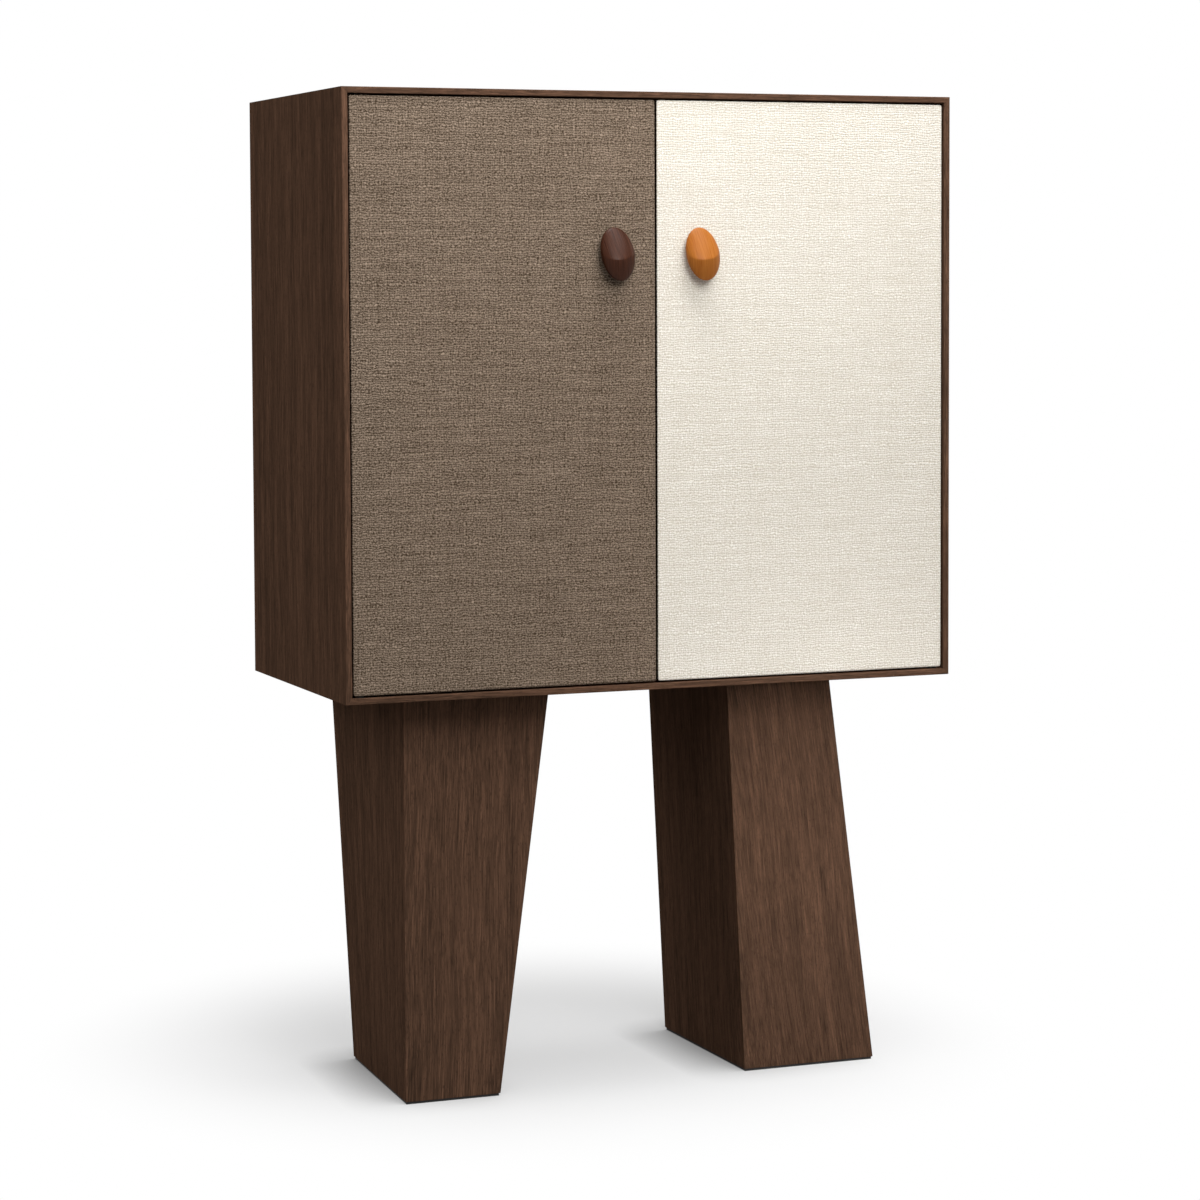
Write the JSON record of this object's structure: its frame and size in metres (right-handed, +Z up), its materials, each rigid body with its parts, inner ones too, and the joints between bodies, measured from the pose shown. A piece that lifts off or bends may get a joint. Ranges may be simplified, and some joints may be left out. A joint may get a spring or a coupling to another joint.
{
  "type": "bar cabinet",
  "caption": "Tall two-door bar cabinet: dark wood case with linen-wrapped doors and pebble knobs on splayed block legs, with a fold-out serving shelf inside one door.",
  "frame": {"origin": "on the floor, under the middle of the whole object's box, knobs included", "axes": "+X to the viewer's right, doors face -Y, +Z up"},
  "size_m": [1, 0.523, 1.54],
  "materials": {
    "dark_wood": "satin",
    "inner_wood": "satin",
    "raw_wood": "matte",
    "taupe_cloth": "matte",
    "cream_cloth": "matte",
    "walnut": "satin",
    "cherry": "satin",
    "pad": "matte",
    "catch_plastic": "matte",
    "brass": "satin",
    "steel": "satin"
  },
  "bodies": {
    "case": {"case_top": "dark_wood", "case_bottom": "dark_wood", "case_left_side": "dark_wood", "case_right_side": "dark_wood", "left_leg_outer": "dark_wood", "left_leg_rear": "dark_wood", "left_leg_inner": "dark_wood", "left_leg_front": "dark_wood", "right_leg_outer": "dark_wood", "right_leg_rear": "dark_wood", "right_leg_inner": "dark_wood", "right_leg_front": "dark_wood", "mid_shelf": "inner_wood", "upper_divider": "inner_wood", "lower_divider": "inner_wood", "left_loose_shelf": "inner_wood", "right_loose_shelf": "inner_wood", "stemware_rails": "inner_wood", "back_panel": "inner_wood", "left_leg_block": "raw_wood", "right_leg_block": "raw_wood", "left_foot_block": "raw_wood", "right_foot_block": "raw_wood", "mid_shelf_dowels": "raw_wood", "left_foot_pad": "pad", "right_foot_pad": "pad", "door_bumpers": "pad", "magnet_catches": "catch_plastic", "thrust_washers": "catch_plastic", "pivot_bushes": "brass", "leg_inserts": "brass", "shelf_pins": "brass", "leg_bolts": "steel", "back_screws": "steel"},
    "left_door": {"left_door_core": "raw_wood", "left_door_cloth": "taupe_cloth", "left_door_backing": "inner_wood", "left_knob": "walnut", "left_knob_screw": "steel", "left_door_pivots": "steel", "left_strike": "steel"},
    "right_door": {"right_door_core": "raw_wood", "right_door_cloth": "cream_cloth", "right_door_backing": "inner_wood", "right_knob": "cherry", "right_knob_screw": "steel", "right_door_pivots": "steel", "right_strike": "steel", "fold_hinge_door_leaf": "brass", "fold_hinge_door_leaf_screws": "brass", "fold_hinge_pin": "brass", "fold_magnet": "steel"},
    "fold_shelf": {"fold_out_shelf": "inner_wood", "fold_hinge_shelf_leaf": "brass", "fold_hinge_shelf_leaf_screws": "brass", "fold_strike": "steel"}
  },
  "joints": [
    {"name": "left_door_swing", "type": "hinge", "parent": "case", "child": "left_door", "pos_m": [-0.4755, -0.2165, 1.084], "axis": [0, 0, -1], "range_deg": [0, 110]},
    {"name": "right_door_swing", "type": "hinge", "parent": "case", "child": "right_door", "pos_m": [0.4755, -0.2165, 1.084], "axis": [0, 0, 1], "range_deg": [0, 110]},
    {"name": "fold_shelf_drop", "type": "hinge", "parent": "right_door", "child": "fold_shelf", "pos_m": [0.2455, -0.1997, 1.016], "axis": [-1, 0, 0], "range_deg": [0, 90]}
  ]
}
